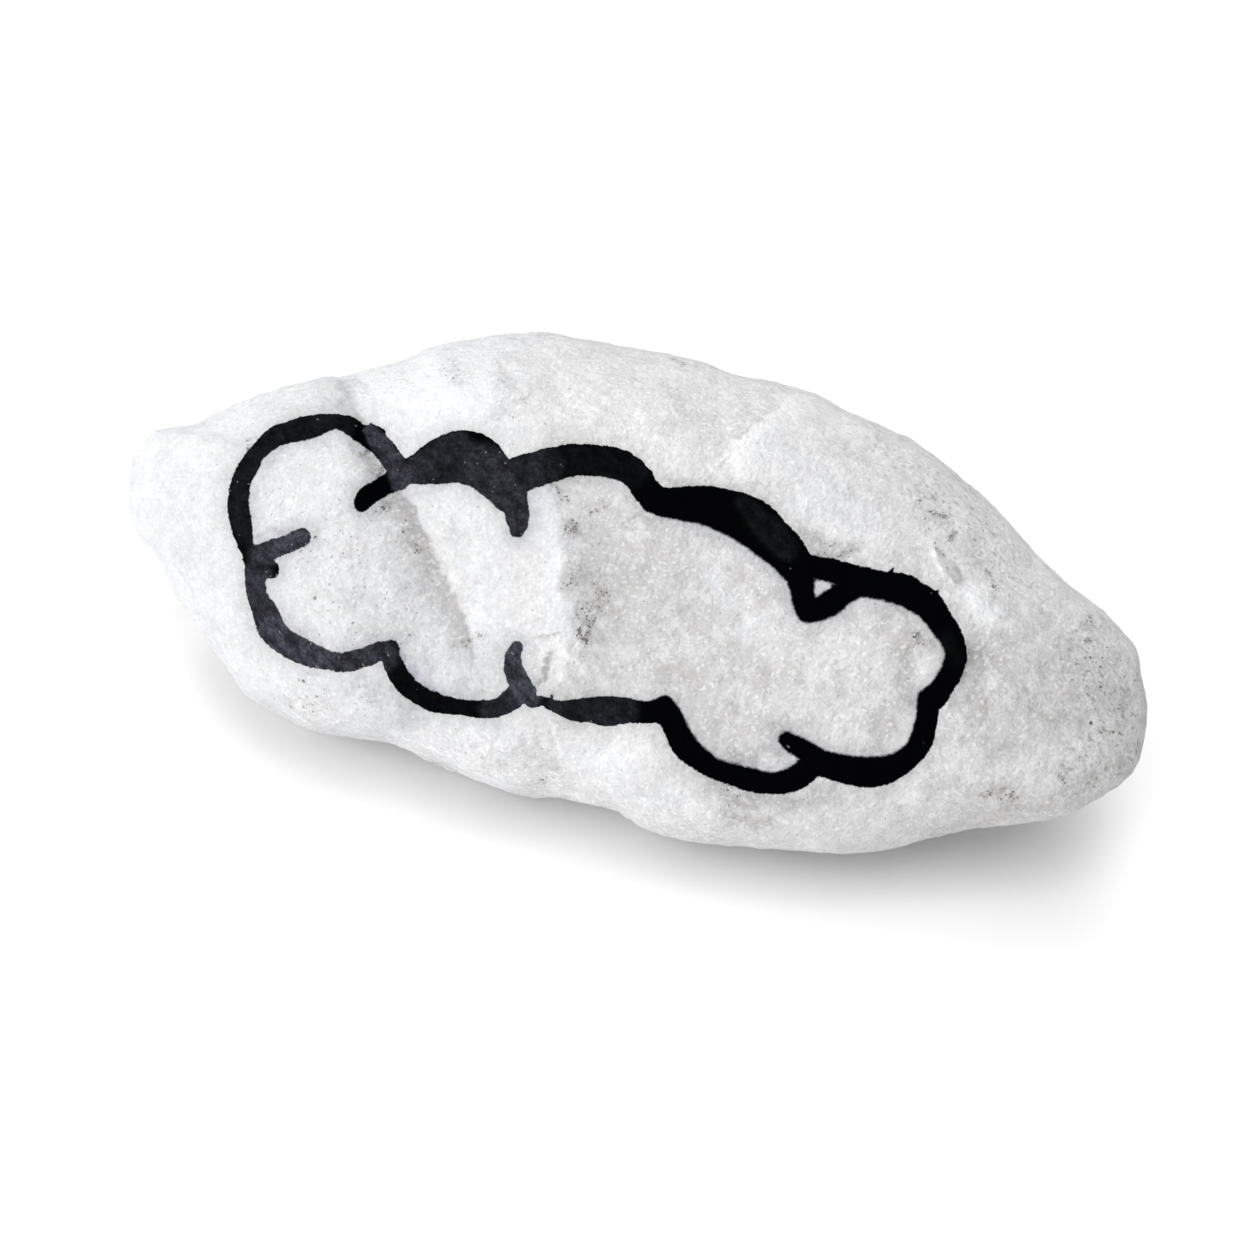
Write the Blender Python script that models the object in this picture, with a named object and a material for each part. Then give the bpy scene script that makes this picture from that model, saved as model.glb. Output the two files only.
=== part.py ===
"""A painted stone: one solid, natural pebble of white crystalline rock.

The stone lies along X on a worn flat patch, with its flatter face turned up and
forward. That face is described in face coordinates: u runs to the right, v runs
up the face and w stands out of it. Points of the face are given in the pixels
of a square picture taken along w, at PIXEL metres a pixel.
Everything else is in metres, with +Z up.
"""
import math

import bmesh
import bpy
from mathutils import Vector, noise

# Driving dimensions
PIXEL = 0.0001
PICTURE_CENTRE = 627.0
VIEW_DISTANCE = 0.470
VIEW_AZIMUTH = math.radians(18.1)
VIEW_ELEVATION = math.radians(45.0)
FACE_ORIGIN = Vector((0.0006, -0.0036, 0.0157))

# The body, measured along its length, across its face and through it
BODY_CENTRE_PX = (640.0, 596.0)
BODY_SLOPE = math.radians(-13.0)
HALF_LENGTH = 0.0527
HALF_WIDTH = 0.0237
FACE_RISE = 0.0145
BACK_DEPTH = 0.0225
FACE_SQUARENESS = 2.5
BACK_SQUARENESS = 2.15
RIM_LEAN = -0.25
LENGTH_LEAN = 0.225
END_TAPER = 0.10

# How far the worn resting patch spreads into the rounded underside
REST_SOFTNESS = 0.0012

# Mesh density: cells along the stone, and around each of its quarters
CELLS_ALONG = 56
CELLS_AROUND = 18
BOX_STRETCH = 1.8

# The edge of the stone, clockwise from its left tip
OUTLINE_PX = [
    (126.8, 501.5), (130.1, 463.3), (140.8, 444.1), (168.9, 426.8),
    (196.9, 423.2), (225.0, 408.4), (263.3, 392.3), (304.1, 380.4),
    (355.1, 371.9), (400.0, 360.5), (425.5, 348.5), (476.5, 337.8),
    (527.6, 332.4), (578.6, 336.5), (629.6, 348.5), (678.1, 354.8),
    (721.4, 370.7), (782.7, 383.2), (822.0, 397.0), (880.0, 424.0),
    (928.3, 450.0), (969.4, 482.9), (1013.3, 526.8), (1057.1, 574.8),
    (1098.3, 606.3), (1131.2, 642.0), (1146.8, 685.8), (1147.6, 737.9),
    (1131.2, 776.3), (1092.8, 803.8), (1037.9, 823.0), (983.1, 829.8),
    (928.3, 839.4), (873.4, 852.6), (818.6, 852.6), (750.0, 848.2),
    (690.0, 842.0), (650.0, 831.0), (607.1, 808.7), (556.1, 799.3),
    (505.1, 790.4), (454.1, 771.7), (408.2, 750.1), (364.8, 739.8),
    (313.8, 730.9), (265.3, 709.2), (242.9, 690.3), (212.2, 646.9),
    (181.6, 603.6), (159.9, 558.9), (138.3, 537.2),
]

# Broken edges on the face: path, height, flank on the left and on the right
# of someone walking along the path
CREASES = {
    "valley beside the left lobe": (
        [(345, 380), (365, 430), (400, 500), (430, 560), (470, 645), (490, 690)],
        -0.0017, 0.0110, 0.0050),
    "main ridge": (
        [(500, 345), (555, 480), (572, 560), (570, 640), (556, 690)],
        0.0019, 0.0045, 0.0125),
    "upper edge": (
        [(590, 420), (720, 440), (850, 500), (940, 590)],
        0.0009, 0.0085, 0.0075),
    "right end edge": (
        [(880, 430), (975, 560), (1005, 690), (975, 815)],
        0.0009, 0.0120, 0.0120),
    "lower edge": (
        [(330, 680), (430, 735), (620, 770), (760, 800), (930, 800)],
        0.0008, 0.0070, 0.0060),
}

# Rounded lumps and hollows on the face: centre, height, radius
LUMPS = {
    "left lobe": ((270, 590), 0.0010, 0.0075),
    "lower left bump": ((472, 757), 0.0007, 0.0032),
    "lower hollow": ((543, 770), -0.0009, 0.0026),
    "lower middle bump": ((630, 788), 0.0011, 0.0038),
    "lower right hollow": ((727, 795), -0.0008, 0.0032),
    "middle hollow": ((700, 610), -0.0008, 0.0075),
    "chip by the right edge": ((945, 560), -0.0006, 0.0022),
    "hollow in the right end": ((1075, 700), -0.0007, 0.0045),
}

# Old breaks on the hidden sides, flattened and worn: direction they face as
# azimuth and elevation, and how far out they lie
WORN_BREAKS = {
    "back": (86.0, -12.0, 0.0252),
    "back left": (126.0, -14.0, 0.0352),
    "left end": (158.0, -38.0, 0.0405),
    "back right": (58.0, -28.0, 0.0290),
    "back underside": (95.0, -50.0, 0.0203),
    "left underside": (195.0, -62.0, 0.0283),
    "right underside": (8.0, -60.0, 0.0280),
}
BREAK_SOFTNESS = 0.0032

# Slow unevenness of the hidden sides, and the roughness all over
SWELL_HEIGHT = 0.0015
SWELL_LENGTH = 0.021
ROUGH_HEIGHT = 0.00035
ROUGH_LENGTH = 0.0065


def face_axes():
    """World directions of the face axes u, v and w."""
    sin_a, cos_a = math.sin(VIEW_AZIMUTH), math.cos(VIEW_AZIMUTH)
    sin_e, cos_e = math.sin(VIEW_ELEVATION), math.cos(VIEW_ELEVATION)
    u_axis = Vector((cos_a, sin_a, 0.0))
    v_axis = Vector((-sin_e * sin_a, sin_e * cos_a, cos_e))
    w_axis = Vector((sin_a * cos_e, -cos_a * cos_e, sin_e))
    return u_axis, v_axis, w_axis


U_AXIS, V_AXIS, W_AXIS = face_axes()


def on_face(point_px):
    """A picture point as metres along u and v from the face origin."""
    x_px, y_px = point_px
    return Vector(((x_px - PICTURE_CENTRE) * PIXEL, (PICTURE_CENTRE - y_px) * PIXEL))


BODY_CENTRE = on_face(BODY_CENTRE_PX)
ALONG = Vector((math.cos(BODY_SLOPE), math.sin(BODY_SLOPE)))
ACROSS = Vector((-math.sin(BODY_SLOPE), math.cos(BODY_SLOPE)))


def outline_by_angle():
    """The outline as sorted pairs: angle around the ellipse, radius against it."""
    pairs = []
    for point_px in OUTLINE_PX:
        offset = on_face(point_px) - BODY_CENTRE
        along = offset.dot(ALONG) / HALF_LENGTH
        across = offset.dot(ACROSS) / HALF_WIDTH
        pairs.append((math.atan2(across, along), math.hypot(along, across)))
    return sorted(pairs)


OUTLINE = outline_by_angle()


def cubic_between(before, start, end, after, share):
    """Catmull-Rom value at a share of the way from start to end."""
    slope_in = (end - before) / 2
    slope_out = (after - start) / 2
    square = share * share
    cube = square * share
    return (start * (2 * cube - 3 * square + 1) + end * (3 * square - 2 * cube)
            + slope_in * (cube - 2 * square + share) + slope_out * (cube - square))


def outline_radius(angle):
    """Radius of the outline, as a share of the ellipse, in one direction."""
    count = len(OUTLINE)
    following = next((i for i, pair in enumerate(OUTLINE) if pair[0] > angle), 0)
    ring = [OUTLINE[(following + step) % count] for step in (-2, -1, 0, 1)]
    gap = (ring[2][0] - ring[1][0]) % math.tau
    share = ((angle - ring[1][0]) % math.tau) / gap
    return cubic_between(ring[0][1], ring[1][1], ring[2][1], ring[3][1], share)


def smooth_step(value):
    """Goes from 0 to 1 with level ends."""
    value = min(max(value, 0.0), 1.0)
    return value * value * (3 - 2 * value)


def dome(radius, squareness):
    """Height of a rounded slab, 1 in the middle and 0 at its rim."""
    return max(1 - radius ** squareness, 0.0) ** (1 / squareness)


def place_on_path(point, path):
    """Distance to a path, and the side: 1 on its left, -1 on its right."""
    nearest, side = math.inf, 0.0
    for start, end in zip(path, path[1:]):
        run = end - start
        share = min(max((point - start).dot(run) / run.length_squared, 0.0), 1.0)
        gap = point - (start + run * share)
        if gap.length < nearest:
            nearest = gap.length
            side = run.cross(gap) / max(run.length * gap.length, 1e-12)
    return nearest, side


def crease_height(point, path_px, height, left_flank, right_flank):
    """Height of a broken edge whose flanks run out smoothly."""
    distance, side = place_on_path(point, [on_face(spot) for spot in path_px])
    flank = right_flank + (left_flank - right_flank) * (1 + side) / 2
    return height * max(1 - distance / flank, 0.0) ** 1.5


def lump_height(point, centre_px, height, radius):
    """Height of a rounded lump, or of a hollow if the height is negative."""
    gap = (point - on_face(centre_px)).length / radius
    return height * math.exp(-gap * gap)


def face_relief(point):
    """Height of all the edges and lumps at a point of the face."""
    creases = sum(crease_height(point, *crease) for crease in CREASES.values())
    lumps = sum(lump_height(point, *lump) for lump in LUMPS.values())
    return creases + lumps


def rounded_body(direction):
    """Point of the stone, in face coordinates, for a direction from its middle."""
    radius = math.hypot(direction.x, direction.y)
    angle = math.atan2(direction.y, direction.x)
    reach = radius * outline_radius(angle)
    along = math.cos(angle) * reach * HALF_LENGTH
    across = math.sin(angle) * reach * HALF_WIDTH
    point = BODY_CENTRE + ALONG * along + ACROSS * across
    lean = RIM_LEAN * across + LENGTH_LEAN * along
    taper = 1 - END_TAPER * along / HALF_LENGTH
    if direction.z >= 0:
        height = FACE_RISE * dome(radius, FACE_SQUARENESS) * taper
        height += face_relief(point) * smooth_step((1 - radius) / 0.22)
    else:
        height = -BACK_DEPTH * dome(radius, BACK_SQUARENESS) * taper
    return Vector((point.x, point.y, height + lean))


def in_world(spot):
    """Face coordinates as a world point, with the narrowing of the view undone."""
    nearness = 1 - spot.z / VIEW_DISTANCE
    return (FACE_ORIGIN + U_AXIS * spot.x * nearness
            + V_AXIS * spot.y * nearness + W_AXIS * spot.z)


def flattened(point, direction, distance, softness):
    """Point brought back to a plane, with a soft run-in where it meets it."""
    beyond = point.dot(direction) - distance
    if beyond <= -softness:
        return point
    if beyond < softness:
        return point - direction * (beyond + softness) ** 2 / (4 * softness)
    return point - direction * beyond


def direction_of(azimuth, elevation):
    """World direction from two angles in degrees."""
    around, up = math.radians(azimuth), math.radians(elevation)
    return Vector((math.cos(around) * math.cos(up),
                   math.sin(around) * math.cos(up), math.sin(up)))


def uneven(point, length, octaves):
    """Repeatable natural unevenness between about -1 and 1."""
    return noise.fractal(point / length, 1.0, 2.0, octaves)


def weathered(point, outward, facing_view):
    """Point after the old breaks and the unevenness of the stone."""
    for azimuth, elevation, distance in WORN_BREAKS.values():
        facing = direction_of(azimuth, elevation)
        reach = distance + FACE_ORIGIN.dot(facing)
        point = flattened(point, facing, reach, BREAK_SOFTNESS)
    hidden = smooth_step(-2 * facing_view)
    swell = SWELL_HEIGHT * uneven(point, SWELL_LENGTH, 2) * hidden
    rough = ROUGH_HEIGHT * uneven(point, ROUGH_LENGTH, 2)
    point = point + outward * (swell + rough)
    return flattened(point, Vector((0.0, 0.0, -1.0)), 0.0, REST_SOFTNESS)


def box_with_cells(mesh):
    """A cube cut into a fine grid of cells, finer along X."""
    bmesh.ops.create_cube(mesh, size=2.0)
    for axis, cells in enumerate((CELLS_ALONG, CELLS_AROUND, CELLS_AROUND)):
        parallel = [edge for edge in mesh.edges
                    if abs(edge.verts[0].co[axis] - edge.verts[1].co[axis]) > 1.0]
        bmesh.ops.subdivide_edges(mesh, edges=parallel, cuts=cells - 1, use_grid_fill=True)


def direction_on_box(corner):
    """Direction for a point of the cube, spaced evenly by angle."""
    long_side = math.tan(corner.x * math.atan(BOX_STRETCH))
    return Vector((long_side, math.tan(corner.y * math.pi / 4),
                   math.tan(corner.z * math.pi / 4))).normalized()


def stone_material():
    """White crystalline rock, matte."""
    material = bpy.data.materials.new("white rock")
    material.use_nodes = True
    shader = material.node_tree.nodes["Principled BSDF"]
    shader.inputs["Base Color"].default_value = (0.80, 0.80, 0.79, 1.0)
    shader.inputs["Roughness"].default_value = 0.75
    shader.inputs["Metallic"].default_value = 0.0
    return material


def make_stone(collection):
    """The stone as one closed mesh."""
    mesh = bmesh.new()
    box_with_cells(mesh)
    for vert in mesh.verts:
        direction = direction_on_box(vert.co)
        outward = U_AXIS * direction.x + V_AXIS * direction.y + W_AXIS * direction.z
        vert.co = weathered(in_world(rounded_body(direction)), outward, direction.z)
    bmesh.ops.recalc_face_normals(mesh, faces=mesh.faces)
    data = bpy.data.meshes.new("stone")
    mesh.to_mesh(data)
    mesh.free()
    data.shade_smooth()
    data.materials.append(stone_material())
    stone = bpy.data.objects.new("stone", data)
    collection.objects.link(stone)
    return stone


def main():
    for old in list(bpy.data.objects):
        bpy.data.objects.remove(old, do_unlink=True)
    collection = bpy.data.collections.new("painted_stone")
    bpy.context.scene.collection.children.link(collection)
    make_stone(collection)


main()
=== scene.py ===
"""Looks of the painted stone: fine relief, crystalline rock and a painted cloud outline.

Places on the face are given in the pixels of the 1254 pixel square picture.
Other lengths are in metres, unless a name or a comment says otherwise.
"""
import math

import bmesh
import bpy
import numpy as np
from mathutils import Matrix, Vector, noise

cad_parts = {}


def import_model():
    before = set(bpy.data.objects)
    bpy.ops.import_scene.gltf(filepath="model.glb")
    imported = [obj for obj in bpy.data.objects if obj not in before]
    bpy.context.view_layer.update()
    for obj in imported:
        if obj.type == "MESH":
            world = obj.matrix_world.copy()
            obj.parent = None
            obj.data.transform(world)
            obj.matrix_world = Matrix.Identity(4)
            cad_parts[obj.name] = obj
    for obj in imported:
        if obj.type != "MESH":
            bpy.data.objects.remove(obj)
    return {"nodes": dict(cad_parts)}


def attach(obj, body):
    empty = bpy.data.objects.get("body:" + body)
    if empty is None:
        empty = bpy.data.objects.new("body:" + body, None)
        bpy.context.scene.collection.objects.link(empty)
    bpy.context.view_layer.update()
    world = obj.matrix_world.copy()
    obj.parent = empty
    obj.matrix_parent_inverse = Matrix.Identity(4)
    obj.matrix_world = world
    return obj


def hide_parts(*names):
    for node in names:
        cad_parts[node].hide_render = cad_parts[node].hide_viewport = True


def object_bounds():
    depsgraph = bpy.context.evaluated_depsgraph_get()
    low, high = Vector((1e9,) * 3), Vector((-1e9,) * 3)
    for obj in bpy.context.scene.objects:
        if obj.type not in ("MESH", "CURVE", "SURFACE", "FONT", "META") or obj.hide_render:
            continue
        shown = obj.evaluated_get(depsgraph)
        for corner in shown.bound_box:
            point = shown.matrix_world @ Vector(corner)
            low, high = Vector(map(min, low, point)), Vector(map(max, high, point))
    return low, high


# The picture plane through the stone, as in the construction script
PIXEL = 0.0001
PICTURE_CENTRE = 627.0
VIEW_DISTANCE = 0.470
VIEW_AZIMUTH = math.radians(18.1)
VIEW_ELEVATION = math.radians(45.0)
FACE_ORIGIN = Vector((0.0006, -0.0036, 0.0157))
LENS_MM = 135.0
SENSOR_MM = 36.0

# Fineness of the mesh: all over, and once more within this distance of the crisp edges
SUBDIVISION = 2
REFINE_PX = 19

# How squarely a place faces the camera, from -1 to 1, where things set in
RELIEF_FACING = (0.0, 0.35)
HIDDEN_FACING = (0.25, -0.15)
MARKS_FACING = (0.0, 0.25)
REFINED_FACING = 0.15
# Share of the marks' full strength from which a place can have paint
PAINTED_SHARE = 0.1

# Overall roughness: feature size, height, octaves
ROUGHNESS = [(0.0042, 0.00013, 4), (0.0013, 0.00007, 3)]
MIDDLE_ROUGHNESS = 0.8
ROUGH_BAND_PX = [(330, 770, 60), (600, 780, 90), (700, 640, 120), (900, 780, 90)]

PIT_DEPTH = 0.00012

# Worn ledges and shallow ridges of the hidden sides
LEDGE_COUNT = 2.6
LEDGE_HEIGHT = 0.00022
RIDGE_NARROWNESS = 5
RIDGE_HEIGHT = 0.00022

# Height over the ground where the relief is full, and the room left in the CAD box
RESTING_HEIGHT = 0.0015
BOX_MARGIN = 0.00001

# How far tones and specks stray from their places, slowly and in small steps
WANDER_PX = 16
CRISP_WANDER_PX = 3
JITTER_PX = 4.0

COOL_GREY = (0.348, 0.352, 0.361, 1.0)
COOL_WHITE = (0.736, 0.747, 0.769, 1.0)
WARM_GREY = (0.358, 0.350, 0.347, 1.0)
WARM_WHITE = (0.750, 0.744, 0.748, 1.0)
FLECK_AND_GLINT_WHITE = (0.88, 0.89, 0.91, 1.0)
SPECK_BROWN = (0.055, 0.044, 0.038, 1.0)
BLEED_BLUE = (0.20, 0.23, 0.30, 1.0)
PAINT_BLACK = (0.001, 0.0011, 0.0015, 1.0)
# Painted sheen: the lighter, bluish colour of the paint where it faces the light
PAINT_SHEEN = (0.061, 0.067, 0.082, 1.0)
HAZE_GREY = (0.03, 0.033, 0.04, 1.0)
FLOOR_WHITE = (0.963, 0.957, 0.954, 1.0)
WHITE = (1.0, 1.0, 1.0, 1.0)

# Faint haze of ink round the strokes: reach, share at the paint, and steepness
HAZE_REACH = 0.0040
HAZE_SHARE = 0.25
HAZE_FALL = 3.0

# The paint's edge: raggedness as feature size and amount in millimetres, and softness
# in millimetres at the left and at the right, outside and inside the cloud
PAINT_RAGGEDNESS = [(0.0007, 0.18), (0.00022, 0.12)]
OUTER_SOFTNESS = (0.025, 0.065)
INNER_SOFTNESS = (0.070, 0.170)
SOFTER_FROM_PX = (620, 700)

# Lightness of the rock, and how strongly the tones change it; the tones hold painted shade and
# painted light as well as the rock's own patches
ROCK_LEVEL = 0.72
SHADE_AND_TONE_STRENGTH = 0.55
LEVEL_RANGE = (-0.35, 1.35)

# Amounts of clouds of tone, at the left and right in front, and on the hidden sides
FRONT_CLOUDS = (0.10, 0.24)
HIDDEN_CLOUDS = 0.20
HIDDEN_LARGE_CLOUDS = 0.36

# Finer unevenness of the rock: feature size, amount, and whether it is slanted
ROCK_WAVES = {
    "small clouds": (0.0030, 0.20, False),
    "streaks": (0.0009, 0.22, True),
    "crystals": (0.00030, 0.22, False),
}
SLANTED_STRETCH = 1.4
GRAIN_SIZE = 0.00027
GRAIN_CONTRAST = 0.14

# Soft boxes: azimuth, elevation, and power in watts
LIGHTS = {
    "left": (198, 15, 3.45),
    "front left": (243, 15, 2.35),
    "front left, higher": (243, 40, 1.65),
    "above the camera": (288, 65, 2.32),
    "front right, high": (333, 65, 1.78),
    "back": (108, 40, 2.78),
    "back, high": (108, 65, 1.10),
    "back left": (153, 15, 1.05),
    "top": (0, 90, 1.65),
}
LIGHT_SIZE = 0.5
LIGHT_DISTANCE = 0.9
SURROUNDINGS = 0.06

# Distances from the stone between which the floor's own glow sets in
GLOW_FROM = (0.25, 0.8)

# The cloud outline as strokes of a marker: x, y, width along each stroke
STROKES_PX = {
    "left upper lobe": [
        (246.5, 547, 16), (241, 523, 22), (238.5, 505, 21.5), (241, 483.5, 20), (248.5, 467, 20),
        (258.5, 452, 17), (275, 437.5, 21), (289, 432.5, 22), (306, 428, 24.5), (321, 424.5, 21),
        (335, 421.5, 15), (348.5, 425, 18), (360, 433, 19), (372, 438, 24), (385, 450, 22),
        (396, 466, 22), (404, 478, 18)],
    "left inner tick": [(253, 558, 20), (268, 551, 20), (285, 545, 18), (302, 537.5, 19)],
    "tick foot": [(262, 568, 18), (271, 570, 18)],
    "left lower lobe": [
        (254, 560, 18), (256, 572, 22), (255.5, 585, 20), (259, 600, 21), (266, 613, 26),
        (271, 627, 28), (281, 639, 26), (298, 649, 26), (315, 656.5, 24), (332, 661, 19),
        (346, 662, 20), (362, 658, 20), (378, 652, 20), (391, 649, 18)],
    "second lower lobe": [
        (389, 652, 19), (395, 667, 20), (403, 681, 21), (418, 694, 20), (437, 703, 20),
        (458, 706.5, 16), (478, 709, 18), (497, 708, 19), (512, 699, 22), (521, 692, 22)],
    "middle inner hook": [
        (517, 647, 12), (513, 657, 17), (514, 670, 20), (520, 684, 22), (528, 695, 20),
        (534, 701, 14), (541, 701, 9)],
    "lower middle": [
        (541, 700, 9), (556, 706.5, 13), (573, 710, 22), (592, 710, 26), (608, 711, 31),
        (622, 710.5, 27), (634, 711, 24), (650, 712, 22), (661, 710, 25)],
    "upper inner tick": [
        (362, 504, 17), (367, 497, 21), (376, 491, 20), (388, 484, 20), (400, 480, 21)],
    "second upper lobe": [
        (396, 474, 20), (406, 472, 25), (418, 469, 32), (430, 465, 41), (445, 460, 48),
        (460, 457, 53), (476, 461, 55), (488, 470, 47), (498, 482, 42), (507, 496, 32)],
    "second upper lobe tail": [
        (510, 484, 30), (514, 498, 27), (517, 512, 25), (518, 522, 22), (517.5, 529, 17)],
    "third upper lobe": [
        (503, 484, 34), (512, 478, 36), (530, 471, 36), (550, 465.5, 35), (570, 460.5, 33),
        (590, 460.5, 32), (608, 462, 32), (622, 466, 31), (636, 475, 29), (645, 488, 28),
        (653, 499, 27)],
    "fourth upper lobe": [
        (652, 500, 26), (665, 502.5, 30), (685, 504, 35), (705, 505.5, 40), (725, 511, 44),
        (743, 518, 48), (758, 527, 48), (772, 540, 44), (784, 551, 42), (794, 564, 37),
        (800, 577, 30), (802, 590, 25), (804.5, 602, 25), (808, 611, 25)],
    "right lobe upper branch": [
        (806, 566, 23), (830, 570.5, 24.5), (850, 577, 27), (864, 582, 31), (880, 585.5, 29),
        (903, 590, 33), (915, 597, 31), (928.5, 605, 30), (939, 620, 27), (950, 636, 25),
        (955, 649, 23), (955.5, 658, 23), (951.5, 671.5, 23), (944, 684, 23), (936, 695, 26),
        (930, 700, 27)],
    "right lobe lower branch": [
        (808, 611.5, 24), (818, 609, 25), (830, 603.5, 27), (845, 592.5, 24), (860, 584, 26)],
    "right lower lobe": [
        (928, 700, 24), (927.5, 710, 23), (926, 722, 23), (920, 742, 24), (913, 753, 23),
        (900, 763, 25), (886, 769, 29), (870, 772, 31.5), (850, 770, 29.5), (830, 765, 28),
        (812, 761, 25)],
    "tip on the right lobe": [(930, 597, 14), (938.5, 590.5, 2)],
    "spike on the right lobe": [(888, 577, 10), (894, 568.5, 2)],
    "spike on the lower middle": [(552, 704, 5), (552, 695, 2)],
    "corner on the left upper lobe": [(377, 434, 18), (371.5, 425, 4)],
    "right inner hook": [
        (786, 739, 16), (791, 743, 19), (798, 746.5, 20), (808, 753, 23), (818, 760, 25)],
    "third lower lobe": [
        (664, 707, 24), (668, 713, 25), (674, 724.5, 25.5), (678.5, 734, 26), (683.5, 743, 26.5),
        (690, 751, 26), (700, 759, 24), (715, 768.5, 21.5), (730, 773.5, 22), (745, 778, 23.5),
        (760, 782, 24), (775, 783, 22.5), (790, 780, 25), (803, 773, 26), (812, 763, 26)],
}
STROKE_STEPS = 4
PAINT_REACH = 0.0042

# Order of the strokes round the cloud, for telling its inside: name and direction
ROUND_THE_CLOUD = [
    ("left upper lobe", 1), ("second upper lobe", 1), ("third upper lobe", 1),
    ("fourth upper lobe", 1), ("right lobe upper branch", 1), ("right lower lobe", 1),
    ("third lower lobe", -1), ("lower middle", -1), ("second lower lobe", -1),
    ("left lower lobe", -1)]

# Crisp edges on top of the modelled relief. Path points are x, y and the height in
# hundredths of a millimetre. Then come the widths in pixels of the flanks on the left and
# on the right of someone walking along the path
HUNDREDTH_MM = 0.00001
EDGES = {
    "foot of the left lobe": (
        [(340, 378, 0), (356, 410, -20), (379, 450, -35), (401, 492, -50), (420, 518, -60),
         (436, 562, -60), (452, 595, -55), (468, 625, -45), (474, 650, -20), (476, 672, 0)], 16, 26),
    "main ridge": (
        [(520, 400, 0), (535, 450, 10), (566, 530, 18), (571, 575, 18), (569, 630, 12),
         (560, 665, 0)], 20, 28),
    "light patch at the upper right": (
        [(792, 395, 0), (786, 403, 10), (773, 414, 18), (758, 421, 22), (743, 435, 26),
         (731, 441, 28), (734, 452, 28), (728, 459, 26), (737, 467, 22), (741, 486, 0)], 60, 4),
    "crescent chip": (
        [(933, 545, 0), (935, 554, 34), (938, 566, 40), (945, 577, 36), (955, 586, 24),
         (962, 590, 0)], 9, 4),
    "hollow of the crescent chip": (
        [(950, 560, 0), (957, 570, -22), (960, 582, -20), (958, 592, 0)], 10, 10),
    "long scratch on the right slope": (
        [(880, 452, 0), (915, 478, -12), (950, 508, -14), (985, 545, 0)], 8, 8),
    "second scratch on the right slope": (
        [(920, 470, 0), (960, 500, 12), (1000, 545, 12), (1022, 580, 0)], 12, 5),
    "ledge above the right end": (
        [(1000, 590, 0), (1040, 600, 14), (1080, 625, 16), (1115, 660, 0)], 20, 7),
    "scalloped chip": (
        [(944, 692, 0), (950, 700, 20), (949, 712, 20), (957, 722, 0)], 7, 5),
    "notch at the left tip": (
        [(118, 486, -45), (132, 483, -35), (150, 486, 0)], 7, 7),
    "step below the second lower lobe": (
        [(430, 722, 0), (462, 738, 16), (505, 752, 18), (545, 742, 0)], 22, 8),
    "hollow under the lower middle": (
        [(530, 722, 0), (543, 752, -35), (548, 778, -30), (552, 800, 0)], 25, 30),
}

# Small lumps and pits: x, y, reach in pixels, height in hundredths of a millimetre
LUMPS_PX = [
    (550, 650, 12, 25), (566, 662, 10, 22), (556, 676, 9, -20), (574, 648, 7, -18),
    (543, 638, 8, 18), (506, 374, 15, -30), (470, 757, 38, 22), (625, 775, 45, 25),
    (727, 792, 22, -25), (980, 604, 20, 25), (705, 590, 24, 14), (760, 610, 22, -12),
    (640, 560, 26, -12), (820, 690, 24, 14), (300, 600, 30, 12), (1040, 690, 34, -16),
    (880, 500, 24, 14), (690, 430, 26, -12), (200, 545, 26, 14), (235, 640, 22, -14),
]

# Small swellings and hollows of the outline, in the same form
OUTLINE_LUMPS_PX = [
    (152, 430, 22, 36), (193, 421, 22, -22), (350, 374, 45, -40), (405, 358, 40, -28),
    (668, 351, 40, -25), (735, 376, 30, -22), (845, 408, 42, -48), (905, 437, 30, 22),
    (1040, 552, 45, -36), (1112, 610, 34, 30), (1132, 648, 34, 26), (1133, 770, 40, 26),
    (1068, 813, 40, 42), (985, 828, 55, -32), (907, 843, 30, 22), (815, 852, 50, 30),
    (735, 848, 25, -20), (614, 814, 40, -30), (560, 800, 40, -34), (425, 757, 26, 30),
    (385, 743, 20, -20), (275, 717, 42, -50), (225, 665, 40, -30), (150, 549, 16, -18),
]
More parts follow.
